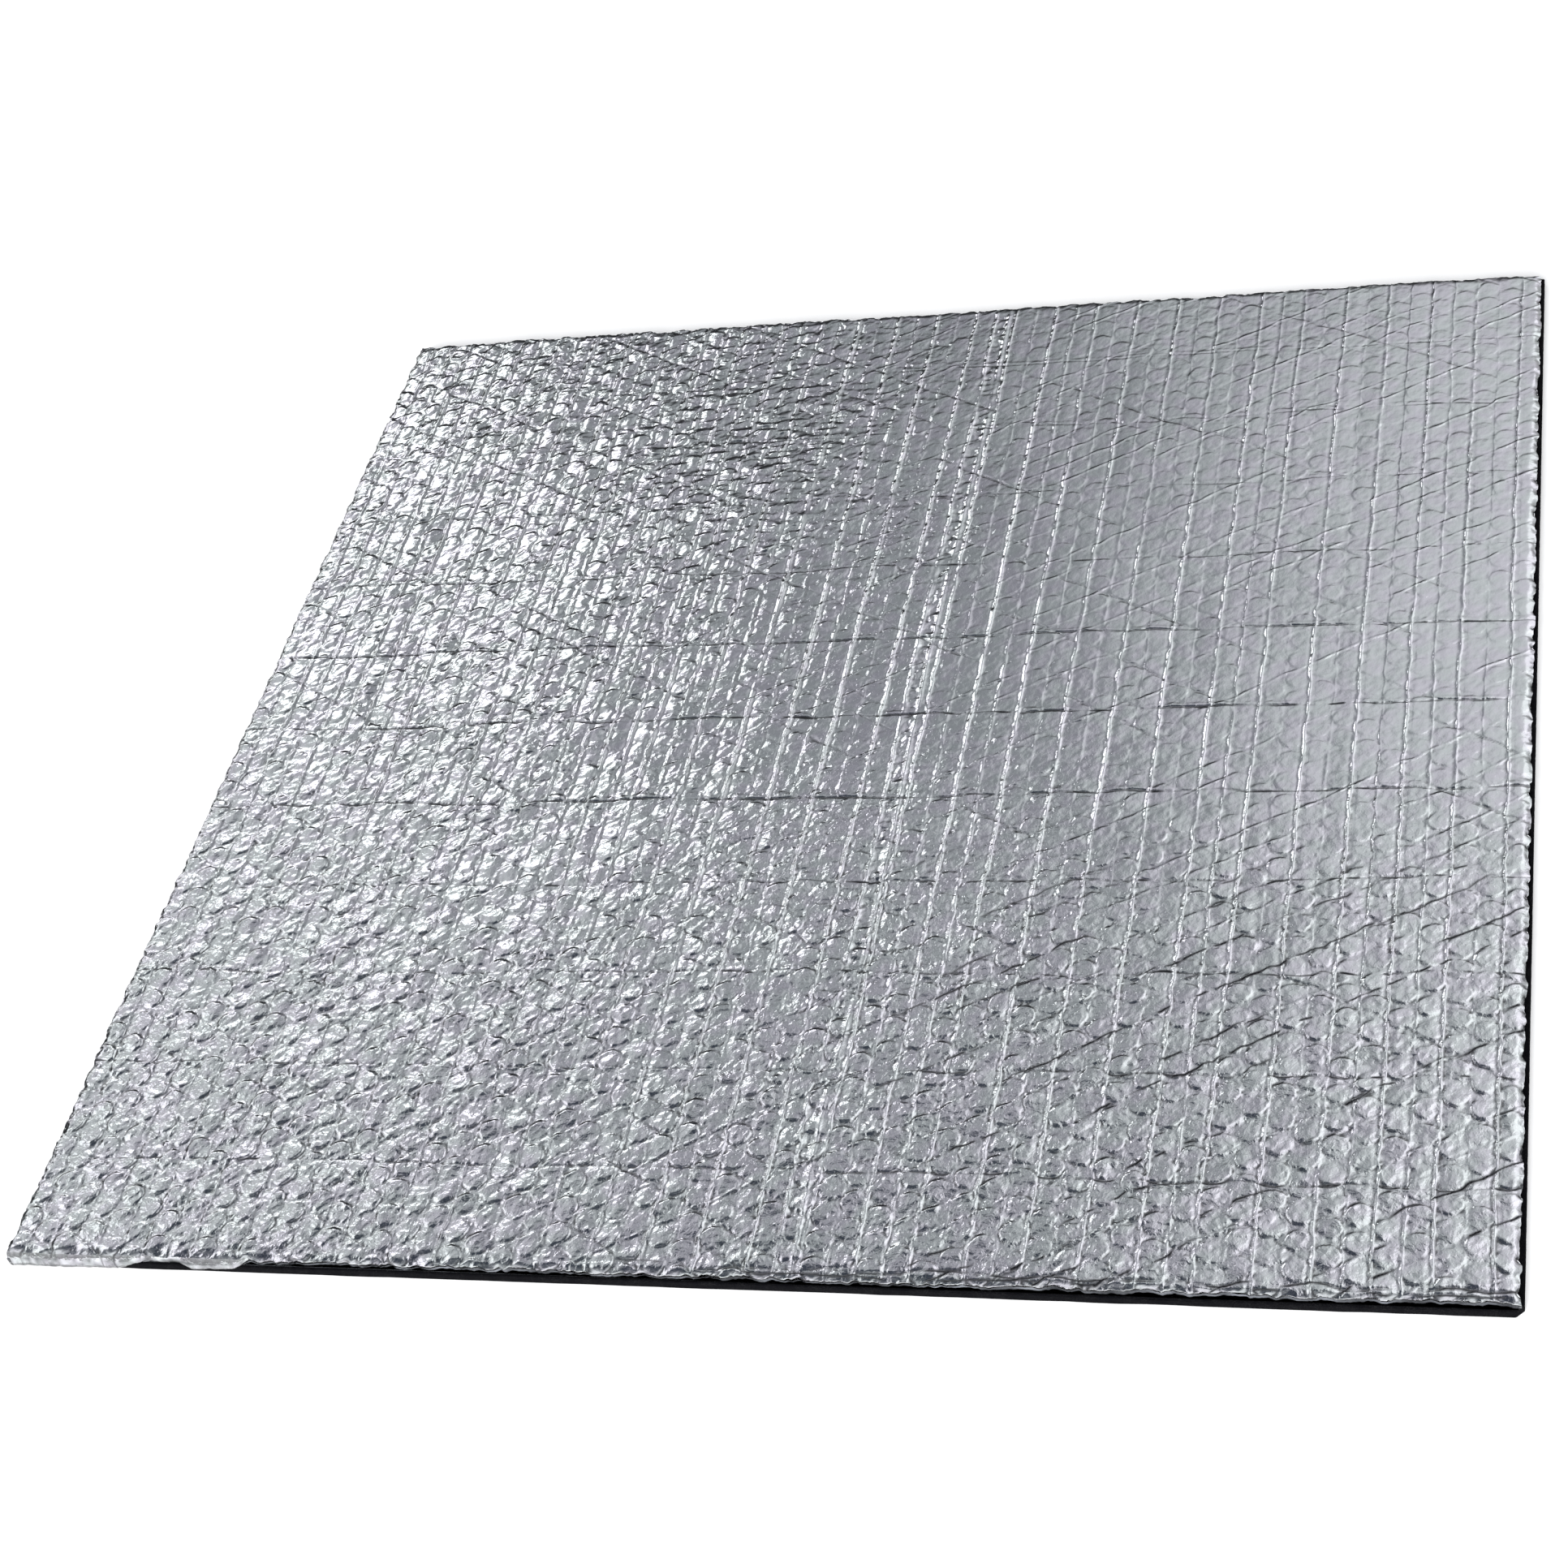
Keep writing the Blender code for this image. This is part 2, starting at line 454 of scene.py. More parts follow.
def painted_shade_lines(x, y):
    """All lines of painted shade in the foil's folds, from 0 to 1."""
    sharp = np.maximum(np.maximum(crease_painted_shade(x, y), slant_painted_shade(x, y)), rim_painted_shade(x, y))
    return np.clip(np.maximum(sharp * 1.6, np.maximum(fall_painted_shade(x, y), seam_painted_shade(x, y))), 0, 1)


CAVITY_SHADE = 0.85
CAVITY_START, CAVITY_FULL = 110.0, 750.0  # bend per metre


def cavity_painted_shade(xs, ys, z):
    """Painted shade in pinched hollows, where light is trapped, from how sharply the surface bends upwards.
    """
    slope_x, slope_y = np.gradient(z, xs, axis=1), np.gradient(z, ys, axis=0)
    bend = np.gradient(slope_x, xs, axis=1) + np.gradient(slope_y, ys, axis=0)
    x, y = np.meshgrid(xs, ys)
    return CAVITY_SHADE * (1 - 0.5 * calmness(x, y)) * smoothstep(CAVITY_START, CAVITY_FULL, bend)


def wander(x, y):
    """Sideways shift of the whole sheet, seams and creases with it."""
    seam, off_seam = nearest_seam(x)
    near = tent(off_seam, 2.6 * MM)
    shift_x = 0.45 * MM * line_noise(y, seam, 5.5 * MM, 21) * near
    shift_x = shift_x + 0.35 * MM * smooth_noise(x, y, 30 * MM, 25)
    line, across = crease_lines(y)
    close = tent(across, 6.0 * MM)
    shift_y = 0.8 * MM * line_noise(x, line, 11 * MM, 41) + 1.0 * MM * line_noise(x, line, 45 * MM, 42)
    return shift_x * inner_share(x, y), shift_y * close * inner_share(x, y)


def inner_share(x, y):
    """From 0 at the pad's edges to 1 a few millimetres inside."""
    edge = np.minimum(FACING_SIDE - np.abs(x), np.minimum(y - FACING_FRONT, FACING_BACK - y))
    return smoothstep(0.0, 4.0 * MM, edge)


# ---------------------------------------------------------------- meshes

def mesh_piece(name, points, quads, loops, material_rows, sharp, rest, measures=()):
    """A mesh object from points, quads and a few larger faces, which keeps where its points lie at rest."""
    sizes = np.concatenate([np.full(len(quads), 4), [len(loop) for loop in loops]]).astype(np.int32)
    corners = np.concatenate([quads.ravel()] + [np.array(loop) for loop in loops]).astype(np.int32)
    mesh = bpy.data.meshes.new(name)
    mesh.vertices.add(len(points))
    mesh.vertices.foreach_set("co", points.astype(np.float32).ravel())
    mesh.loops.add(len(corners))
    mesh.loops.foreach_set("vertex_index", corners)
    mesh.polygons.add(len(sizes))
    mesh.polygons.foreach_set("loop_start", (np.cumsum(sizes) - sizes).astype(np.int32))
    mesh.polygons.foreach_set("material_index", material_rows.astype(np.int32))
    mesh.update(calc_edges=True)
    mesh.polygons.foreach_set("use_smooth", np.ones(len(sizes), bool))
    pairs = np.zeros(len(mesh.edges) * 2, np.int32)
    mesh.edges.foreach_get("vertices", pairs)
    pairs = pairs.reshape(-1, 2)
    mesh.attributes.new("sharp_edge", "BOOLEAN", "EDGE").data.foreach_set(
        "value", sharp[pairs[:, 0]] & sharp[pairs[:, 1]])
    place = mesh.attributes.new("rest_place", "FLOAT_VECTOR", "POINT")
    place.data.foreach_set("vector", rest.astype(np.float32).ravel())
    for measure, values in measures:
        attribute = mesh.attributes.new(measure, "FLOAT", "POINT")
        attribute.data.foreach_set("value", values.astype(np.float32).ravel())
    piece = bpy.data.objects.new(name, mesh)
    bpy.context.scene.collection.objects.link(piece)
    return piece


def grid_quads(index):
    """Quads of a grid of point numbers, facing up when rows run in +Y and columns in +X."""
    return np.stack([index[:-1, :-1], index[:-1, 1:], index[1:, 1:], index[1:, :-1]], -1).reshape(-1, 4)


def stepped(low, high, fine_low, fine_high):
    """Places from low to high: an even grid, with fine steps at the ends that ask for them."""
    start = [low + step for step in FINE_STEPS] if fine_low else [low]
    end = [high - step for step in FINE_STEPS[::-1]] if fine_high else [high]
    count = max(1, round((end[0] - start[-1]) / EVEN_STEP))
    middle = np.linspace(start[-1], end[0], count + 1)[1:-1]
    return np.concatenate([start, middle, end])


def facing_columns():
    """X places of the grid, fine next to the seams and the side edges."""
    seam = cad_low.x + COLUMN_PITCH * np.arange(COLUMNS + 1)
    seam[0], seam[-1] = -FACING_SIDE, FACING_SIDE
    spans = [stepped(a, b, True, True)[:-1] for a, b in zip(seam[:-1], seam[1:])]
    return np.concatenate(spans + [[FACING_SIDE]])


# Share of the height left at a cut edge, where the bubbles are crushed
FRONT_RIM, RIGHT_RIM, FAR_RIM = 0.80, 0.80, 0.88  # the far rims are the left one and the back one
RIM_WIDTH = 3.2 * MM
RAGGED = 3.5 * MM  # how far inside the ragged cut is felt


def rim_droop(edge_distance, along, seed, share):
    """From a share at a cut edge to 1 inside, over a ragged width."""
    width = RIM_WIDTH * (1.0 + 0.45 * facet_noise(along, along * 0, 6.5 * MM, seed))
    inside = np.clip(edge_distance / width, 0.0, 1.0)
    return share + (1 - share) * np.sin(inside * math.pi / 2)


def rim_shift(edge_distance, along, seed):
    """How far the ragged edge is drawn in, fading to nothing a few millimetres inside."""
    ragged = 0.75 * MM * (facet_noise(along, along * 0, 3.2 * MM, seed) - 0.3)
    ragged = ragged + 0.28 * MM * facet_noise(along, along * 0, 1.3 * MM, seed + 3)
    fade = np.clip(1 - edge_distance / RAGGED, 0, 1) ** 2
    return np.clip(ragged, -1.1 * MM, 0.25 * MM) * fade


LIP_REACH = 150 * MM  # where the foil lip would end without its ragged fade


def lip_share(x):
    """Where the foil is folded down over the front edge: 1 at the front left corner, ragged to 0."""
    reach = 1.0 - (x + FACING_SIDE) / LIP_REACH + 0.26 * smooth_noise(x, x * 0, 11 * MM, 121)
    return smoothstep(0.25, 0.60, reach)


# The cut edge of the bubble film, from the rim down: inwards shift, and share of the height
EDGE_STEPS = ((0.03 * MM, 0.86), (0.10 * MM, 0.70), (1.10 * MM, 0.58), (1.00 * MM, 0.25),
              (0.60 * MM, 0.08), (0.60 * MM, 0.0))
FOIL_STEPS = 2  # how many of them the foil covers
EDGE_BOTTOM = FOAM_TOP + 0.05 * MM
# The foil lip over the foam's front face, from the rim down: outwards from the foam, and height
LIP_STEPS = ((0.25 * MM, 4.3 * MM), (0.62 * MM, 2.6 * MM), (0.55 * MM, 0.7 * MM), (0.32 * MM, 0.8 * MM),
             (0.28 * MM, 3.25 * MM), (-0.90 * MM, 3.25 * MM))
LIP_RISE = 1.9 * MM  # how much shorter the lip gets away from the corner
LIP_RISE_START, LIP_RISE_END = 25 * MM, 95 * MM


def side_wall(rim, direction):
    """Lines of points below the rim, on the cut edge, from the rim down."""
    lines = []
    for shift, share in EDGE_STEPS:
        line = rim.copy()
        line[:, 0] += direction[0] * shift
        line[:, 1] += direction[1] * shift
        line[:, 2] = EDGE_BOTTOM + (rim[:, 2] - EDGE_BOTTOM) * share
        lines.append(line)
    return lines


def front_wall(rim):
    """The front edge: a cut edge that turns into the folded foil lip towards the left corner."""
    lines = side_wall(rim, (0, 1))
    x = rim[:, 0]
    share = lip_share(x)
    ruffle = 1 + 0.25 * facet_noise(x, x * 0, 2.6 * MM, 124)
    hang = 1 - 0.40 * smoothstep(0.16, 0.0, x) * np.clip(0.7 + smooth_noise(x, x * 0, 14 * MM, 129), 0, 1)
    torn = 0.45 * MM * facet_noise(x, x * 0, 2.4 * MM, 130)
    for line in lines[1:3]:
        height = EDGE_BOTTOM + (line[:, 2] - EDGE_BOTTOM) * hang + torn
        line[:, 2] = np.maximum(height, EDGE_BOTTOM + 0.6 * MM)
    rise = LIP_RISE * smoothstep(LIP_RISE_START, LIP_RISE_END, x + FACING_SIDE)
    for number, (line, (outward, low)) in enumerate(zip(lines, LIP_STEPS)):
        if number in (1, 2, 3):
            low = low + (0.5 if number == 1 else 1.0) * rise
        if number in (2, 3):
            low = low + 0.5 * MM * np.clip(facet_noise(x, x * 0, 3.4 * MM, 127), 0, 1)
        out = outward * (ruffle if number < 3 else 1.0)
        if number in (1, 2, 3):
            bulge = 0.26 * MM * facet_noise(x, x * 0 + 5 * MM * number, 1.9 * MM, 125)
            out = np.maximum(out + bulge, 0.12 * MM)
        line[:, 1] = line[:, 1] * (1 - share) + (FOAM_FRONT - out) * share
        line[:, 2] = line[:, 2] * (1 - share) + low * share
    for line, plain in zip(lines, side_wall(rim, (0, 1))):
        line[[0, -1]] = plain[[0, -1]]  # both ends stay in the plane of the underside
    return lines


def facing_points(ys, front_edge, back_edge):
    """Points of the foil's top and its cut edges as a grid of rows, with their measures."""
    xs = facing_columns()
    x, y = np.meshgrid(xs, ys)
    z = foil_height(x, y)
    # Painted shade: the fold lines and the hollows, kept for each point
    crack = np.maximum(painted_shade_lines(x, y), cavity_painted_shade(xs, ys, z))
    wrinkle = 0.20 + 0.75 * crumple(x, y) + 0.55 * frontness(y)
    side = FACING_SIDE - np.abs(x)
    droop = rim_droop(side, y + np.sign(x), 101, np.where(x > 0, RIGHT_RIM, FAR_RIM))
    x_shift, y_shift = wander(x, y)
    x_shift = x_shift + np.sign(x) * rim_shift(side, y + 3 * np.sign(x), 103)
    for distance, sign, edge in ((y - FACING_FRONT, -1, front_edge), (FACING_BACK - y, 1, back_edge)):
        if edge:
            share = FRONT_RIM if sign < 0 else FAR_RIM
            droop = np.minimum(droop, rim_droop(distance, x, 107 + sign, share))
            y_shift = y_shift + sign * rim_shift(distance, x, 113 + sign) * (1 - lip_share(x) * (sign < 0))
    crushed = smoothstep(1.0, 0.75, droop) * 0.34 * facet_noise(x, y, 2.1 * MM, 117) * MM
    z = EDGE_BOTTOM + (z - EDGE_BOTTOM) * droop + crushed
    points = np.stack([x + x_shift, y + y_shift, z], -1)
    rest = np.stack([x, y, z], -1)
    left = np.stack(side_wall(points[:, 0], (1, 0))[::-1], 1)
    right = np.stack(side_wall(points[:, -1], (-1, 0)), 1)
    points, rest = np.concatenate([left, points, right], 1), np.concatenate([left, rest, right], 1)
    steps = len(EDGE_STEPS)
    crack, wrinkle = (np.pad(values, ((0, 0), (steps, steps)), "edge") for values in (crack, wrinkle))
    if front_edge:
        front = np.stack(front_wall(points[0])[::-1], 0)
        points, rest = np.concatenate([front, points], 0), np.concatenate([front, rest], 0)
        crack, wrinkle = (np.pad(values, ((steps, 0), (0, 0)), "edge") for values in (crack, wrinkle))
        # Painted shade, mottled, on the foil of the front edge and its folded lip, which darkens it where it
        # would mirror the white floor
        shade_mottle = facet_noise(front[:, :, 0], front[:, :, 2] * 2, 1.7 * MM, 119)
        crack[:steps] = np.maximum(crack[:steps], np.clip(0.50 + 0.45 * shade_mottle, 0, 1))
    if back_edge:
        back = np.stack(side_wall(points[-1], (0, -1)), 0)
        points, rest = np.concatenate([points, back], 0), np.concatenate([rest, back], 0)
        crack, wrinkle = (np.pad(values, ((0, steps), (0, 0)), "edge") for values in (crack, wrinkle))
    return points, rest, crack, wrinkle


def facing_piece(name, ys, front_edge=False, back_edge=False):
    """One closed length of the foil-faced bubble film: relief, cut edges, flat underside and ends."""
    points, rest, crack, wrinkle = facing_points(ys, front_edge, back_edge)
    rows, columns = points.shape[:2]
    index = np.arange(rows * columns).reshape(rows, columns)
    steps = len(EDGE_STEPS)
    under = np.stack([index[:-1, 0], index[1:, 0], index[1:, -1], index[:-1, -1]], -1)
    cell_column = np.tile(np.arange(columns - 1), rows - 1)
    cell_row = np.repeat(np.arange(rows - 1), columns - 1)
    bare = steps - FOIL_STEPS
    film = (cell_column < bare) | (cell_column >= columns - 1 - bare)
    if front_edge:
        middle = (points[0, :-1, 0] + points[0, 1:, 0]) / 2
        film |= (cell_row < bare) & (lip_share(middle)[cell_column] < 0.25)
    if back_edge:
        film |= cell_row >= rows - 1 - bare
    slots = np.concatenate([film.astype(int), np.ones(len(under) + 2)])
    sharp = np.zeros((rows, columns), bool)
    sharp[0], sharp[-1], sharp[:, 0], sharp[:, -1] = True, True, True, True
    sharp[:, steps], sharp[:, -1 - steps] = True, True
    if front_edge:
        sharp[steps] = True
    if back_edge:
        sharp[-1 - steps] = True
    return mesh_piece(name, points.reshape(-1, 3), np.concatenate([grid_quads(index), under]),
                      [list(index[0, ::-1]), list(index[-1])], slots, sharp.ravel(), rest.reshape(-1, 3),
                      (("crack", crack), ("wrinkle", wrinkle)))


# ---------------------------------------------------------------- foam

FOAM_ROUND = 0.35 * MM  # radius of the foam's cut edges
FOAM_CORNER_CUT = 2.5 * MM
FOAM_STEP = 3.2 * MM
FOAM_COLUMNS = 61
BEND_ROWS = 37  # rows of the grid over one bend
GROOVE_TOP, GROOVE_BOTTOM = 0.10 * MM, 0.30 * MM  # depth of a crease in the foam
EDGE_ARC = [math.radians(angle) for angle in (0, 30, 60, 90)]


def foam_rows(low, high, crease, front_edge, back_edge):
    """Y places of the foam's grid, close together at a crease and at the rounded ends."""
    marks = list(np.linspace(low, high, max(2, round((high - low) / FOAM_STEP))))
    if crease is not None:
        marks = [y for y in marks if abs(y - crease) > BEND]
        marks += list(crease + np.linspace(-BEND, BEND, BEND_ROWS))
    arc = [FOAM_ROUND * (1 - math.cos(angle)) for angle in EDGE_ARC[1:]]
    if front_edge:
        marks = [y for y in marks if y > low + FOAM_CORNER_CUT] + [low] + [low + step for step in arc]
        marks += [low + FOAM_CORNER_CUT * share for share in (0.4, 0.7, 1.0)]
    if back_edge:
        marks = [y for y in marks if y < high - 2 * FOAM_ROUND] + [high] + [high - step for step in arc]
    return sorted(marks)


def foam_piece(name, low, high, crease, front_edge=False, back_edge=False):
    """One length of the foam base: a ring of points round the section, for each row."""
    across = np.linspace(-1, 1, FOAM_COLUMNS)
    arc_in = [1 - math.sin(angle) for angle in EDGE_ARC]
    arc_down = [1 - math.cos(angle) for angle in EDGE_ARC]
    rings = []
    for y in foam_rows(low, high, crease, front_edge, back_edge):
        pull = 0.0
        for edge, distance in ((front_edge, y - low), (back_edge, high - y)):
            if edge and distance < FOAM_ROUND:
                reach = math.sqrt(max(0.0, FOAM_ROUND ** 2 - (FOAM_ROUND - distance) ** 2))
                pull = max(pull, FOAM_ROUND - reach)
        left, right = -FOAM_SIDE + pull, FOAM_SIDE - pull
        if front_edge:
            right -= max(0.0, FOAM_CORNER_CUT - (y - low))
        top, bottom = FOAM_TOP - pull, pull
        r = FOAM_ROUND
        inner_left, inner_right = left + r, right - r
        flat = inner_left + (across + 1) / 2 * (inner_right - inner_left)
        groove = 0.0 if crease is None else math.exp(-((y - crease) / (0.8 * MM)) ** 2)
        top_line = [(x, top - GROOVE_TOP * groove) for x in flat]
        right_top = [(right - r * a, top - r * b) for a, b in zip(arc_in, arc_down)][1:]
        right_bottom = [(right - r * a, bottom + r * b) for a, b in zip(arc_in, arc_down)][::-1]
        bottom_line = [(x, bottom + GROOVE_BOTTOM * groove) for x in flat[::-1]]
        left_bottom = [(left + r * a, bottom + r * b) for a, b in zip(arc_in, arc_down)][1:]
        left_top = [(left + r * a, top - r * b) for a, b in zip(arc_in, arc_down)][::-1]
        ring = top_line + right_top + right_bottom[:-1] + bottom_line + left_bottom + left_top[:-1]
        ring = np.array(ring)
        x, z = ring[:, 0], ring[:, 1]
        row_y = np.full(len(ring), y)
        if front_edge:
            fade = max(0.0, 1 - (y - low) / (3 * MM))
            row_y = row_y + fade * 0.14 * MM * (1 + smooth_noise(x, z, 6 * MM, 131))
        cut = 0.07 * MM * smooth_noise(row_y, z, 2.2 * MM, 133)
        x = np.where(np.abs(x) > FOAM_SIDE - 2 * r, x - np.sign(x) * np.abs(cut), x)
        rings.append(np.stack([x, row_y, z], -1))
    points = np.array(rings)
    rows, count = points.shape[:2]
    index = np.arange(rows * count).reshape(rows, count)
    ring_index = np.concatenate([index, index[:, :1]], 1)
    quads = grid_quads(ring_index)
    sharp = np.zeros((rows, count), bool)
    sharp[0], sharp[-1] = True, True
    loops = [list(index[0, ::-1]), list(index[-1])]
    return mesh_piece(name, points.reshape(-1, 3), quads, loops, np.zeros(len(quads) + 2), sharp.ravel(),
                      points.reshape(-1, 3))


# ---------------------------------------------------------------- materials

def new_material(name):
    material = bpy.data.materials.new(name)
    material.use_nodes = True
    return material, material.node_tree.nodes["Principled BSDF"]


class Nodes:
    """Short ways to add and join shader nodes."""

    def __init__(self, material):
        self.tree = material.node_tree

    def add(self, kind, **settings):
        node = self.tree.nodes.new(kind)
        for setting, value in settings.items():
            setattr(node, setting, value)
        return node

    def join(self, source, target):
        self.tree.links.new(source, target)

    def place(self):
        """Where a point lies when the pad is flat, in millimetres."""
        rest = self.add("ShaderNodeAttribute", attribute_name="rest_place")
        scale = self.add("ShaderNodeVectorMath", operation="SCALE")
        self.join(rest.outputs["Vector"], scale.inputs[0])
        scale.inputs["Scale"].default_value = 1 / MM
        return scale.outputs["Vector"]

    def measure(self, name):
        return self.add("ShaderNodeAttribute", attribute_name=name).outputs["Fac"]

    def noise(self, place, scale, detail=2.0, roughness=0.5, distortion=0.0):
        node = self.add("ShaderNodeTexNoise")
        self.join(place, node.inputs["Vector"])
        for name, value in (("Scale", scale), ("Detail", detail), ("Roughness", roughness),
                            ("Distortion", distortion)):
            node.inputs[name].default_value = value
        return node.outputs["Fac"]

    def cells(self, place, scale, output="Distance", feature="F1"):
        node = self.add("ShaderNodeTexVoronoi", feature=feature)
        self.join(place, node.inputs["Vector"])
        node.inputs["Scale"].default_value = scale
        return node.outputs[output]

    def maths(self, operation, first, second):
        node = self.add("ShaderNodeMath", operation=operation)
        for socket, value in zip(node.inputs, (first, second)):
            if isinstance(value, (int, float)):
                socket.default_value = value
            else:
                self.join(value, socket)
        return node.outputs[0]

    def scaled(self, value, factor, start):
        """The value times a factor, plus a start."""
        node = self.add("ShaderNodeMath", operation="MULTIPLY_ADD")
        self.join(value, node.inputs[0])
        node.inputs[1].default_value = factor
        node.inputs[2].default_value = start
        return node.outputs[0]

    def ramp(self, factor, stops):
        """Colours along a factor, from (position, colour) stops."""
        node = self.add("ShaderNodeValToRGB")
        elements = node.color_ramp.elements
        while len(elements) < len(stops):
            elements.new(0.5)
        for element, (position, colour) in zip(elements, stops):
            element.position = position
            element.color = (*colour, 1.0)
        self.join(factor, node.inputs["Fac"])
        return node.outputs["Color"]

    def blend(self, factor, first, second):
        node = self.add("ShaderNodeMix", data_type="RGBA")
        self.join(factor, node.inputs["Factor"])
        for socket, value in ((node.inputs[6], first), (node.inputs[7], second)):
            if isinstance(value, tuple):
                socket.default_value = (*value, 1.0)
            else:
                self.join(value, socket)
        return node.outputs[2]

    def bump(self, height, distance, strength=1.0):
        node = self.add("ShaderNodeBump")
        self.join(height, node.inputs["Height"])
        node.inputs["Distance"].default_value = distance
        if isinstance(strength, float):
            node.inputs["Strength"].default_value = strength
        else:
            self.join(strength, node.inputs["Strength"])
        return node.outputs["Normal"]


def warped(nodes, place, scale, amount):
    """The same places, pushed about by soft noise."""
    noise = nodes.add("ShaderNodeTexNoise")
    nodes.join(place, noise.inputs["Vector"])
    noise.inputs["Scale"].default_value = scale
    push = nodes.add("ShaderNodeVectorMath", operation="SCALE")
    nodes.join(noise.outputs["Color"], push.inputs[0])
    push.inputs["Scale"].default_value = amount
    total = nodes.add("ShaderNodeVectorMath", operation="ADD")
    nodes.join(place, total.inputs[0])
    nodes.join(push.outputs["Vector"], total.inputs[1])
    return total.outputs["Vector"]


FOIL_TINTS = ((0.38, (0.83, 0.875, 0.88)), (0.50, (0.86, 0.88, 0.91)), (0.62, (0.875, 0.86, 0.93)))
# Near black, painted into the foil's colour as shade in its folds and hollows
PAINTED_SHADE_COLOUR = (0.03, 0.03, 0.035)
# Dark greys of the cut film edge, partly its own tone and partly painted shade of the recess under the rim
FILM_GREYS_AND_SHADE = ((0.15, (0.16, 0.17, 0.19)), (0.45, (0.08, 0.085, 0.095)), (0.75, (0.03, 0.032, 0.036)))
FOAM_BLACKS = ((0.05, (0.002, 0.002, 0.003)), (0.30, (0.005, 0.005, 0.006)), (0.6, (0.012, 0.012, 0.013)))
FLOOR_WHITES = ((0.3, (0.965, 0.965, 0.965)), (0.7, (0.985, 0.985, 0.985)))


def foil_material():
    """Bright aluminium foil with fine creases, faint colour play and painted shade in its folds and hollows.
    """
    material, shader = new_material("crinkled_foil")
    nodes = Nodes(material)
    place = nodes.place()
    bent = warped(nodes, place, 0.6, 1.6)
    crack = nodes.measure("crack")
    tint = nodes.noise(place, 0.10, 2.0, 0.6)
    colour = nodes.ramp(tint, FOIL_TINTS)
    # Painted shade: the colour goes towards near black where the folds and hollows lie in shade
    colour = nodes.blend(crack, colour, PAINTED_SHADE_COLOUR)
    nodes.join(colour, shader.inputs["Base Color"])
    shader.inputs["Metallic"].default_value = 1.0
    haze = nodes.noise(place, 0.35, 3.0, 0.6)
    dull = nodes.maths("MULTIPLY", crack, 0.5)
    nodes.join(nodes.maths("MAXIMUM", nodes.scaled(haze, 0.08, 0.03), dull), shader.inputs["Roughness"])
    large = nodes.cells(bent, 0.42)
    small = nodes.cells(bent, 1.15)
    grain = nodes.noise(place, 2.6, 3.0, 0.6)
    height = nodes.maths("ADD", large, nodes.maths("MULTIPLY", small, 0.32))
    height = nodes.maths("ADD", height, nodes.maths("MULTIPLY", grain, 0.16))
    wrinkle = nodes.measure("wrinkle")
    nodes.join(nodes.bump(height, 0.075 * MM, wrinkle), shader.inputs["Normal"])
    return material


def film_and_shade_material():
    """The cut edge of clear bubble film, cloudy with many small walls, in dark grey to near black: partly its
    own tone, partly painted shade for the recess under the foil's rim.
    """
    material, shader = new_material("cut_bubble_film")
    nodes = Nodes(material)
    place = nodes.place()
    nodes.join(nodes.ramp(nodes.cells(place, 0.11), FILM_GREYS_AND_SHADE), shader.inputs["Base Color"])
    nodes.join(nodes.scaled(nodes.noise(place, 0.8), 0.3, 0.12), shader.inputs["Roughness"])
    nodes.join(nodes.bump(nodes.noise(place, 1.1, 3.0), 0.3 * MM), shader.inputs["Normal"])
    return material


def foam_material():
    """Matt black closed-cell foam with a fine cell pattern."""
    material, shader = new_material("black_foam")
    nodes = Nodes(material)
    place = nodes.place()
    cell = nodes.cells(place, 2.4)
    patch = nodes.noise(place, 0.25, 3.0)
    mixed = nodes.maths("MULTIPLY", cell, patch)
    nodes.join(nodes.ramp(mixed, FOAM_BLACKS), shader.inputs["Base Color"])
    nodes.join(nodes.scaled(patch, 0.3, 0.62), shader.inputs["Roughness"])
    shader.inputs["Specular IOR Level"].default_value = 0.02
    nodes.join(nodes.bump(cell, 0.12 * MM), shader.inputs["Normal"])
    return material


# ---------------------------------------------------------------- pieces

foil = foil_material()
film = film_and_shade_material()
foam = foam_material()
LAST = len(CUTS)


def span(number, front, back):
    """Front and back of a length. Lengths meet in the middle of the panels."""
    return (front if number == 0 else CUTS[number - 1]), (back if number == LAST else CUTS[number])


def join_to_frame(piece, number):
    """Number 0 is the front strip, the last one the back strip, and each one between crosses a crease."""
    if number == 0:
        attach(piece, BODIES[0])
    elif number == LAST:
        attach(piece, BODIES[-1])
    else:
        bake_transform(piece)


def facing_rows(number):
    """Y places of the grid of one length, fine next to its crease and to the pad's edges."""
    low, high = span(number, FACING_FRONT, FACING_BACK)
    if number == 0:
        return stepped(low, high, True, False)
    if number == LAST:
        return stepped(low, high, False, True)
    crease = CREASES[number - 1]
    return np.concatenate([stepped(low, crease, False, True)[:-1], stepped(crease, high, True, False)])


def declare(piece, layers, number):
    """Hides the CAD layers that a piece stands for, and joins the piece to the frame."""
    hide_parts(*[f"{layer}_{min(number + 1, LAST):02d}" for layer in layers])
    join_to_frame(piece, number)


for number in range(LAST + 1):
    ends = (number == 0, number == LAST)  # whether the length has the pad's front edge, and its back edge
    facing = facing_piece(f"foil_bubble_sheet_{number:02d}", facing_rows(number), *ends)
    facing.data.materials.append(foil)
    facing.data.materials.append(film)
    declare(facing, UPPER_LAYERS, number)
    front, back = span(number, FOAM_FRONT, FOAM_BACK)
    crease = None if number in (0, LAST) else CREASES[number - 1]
    base = foam_piece(f"foam_pad_{number:02d}", front, back, crease, *ends)
    base.data.materials.append(foam)
    declare(base, ("foam_base",), number)


# ---------------------------------------------------------------- studio

FLOOR_SIZE, FLOOR_GAP = 14, 0.2 * MM


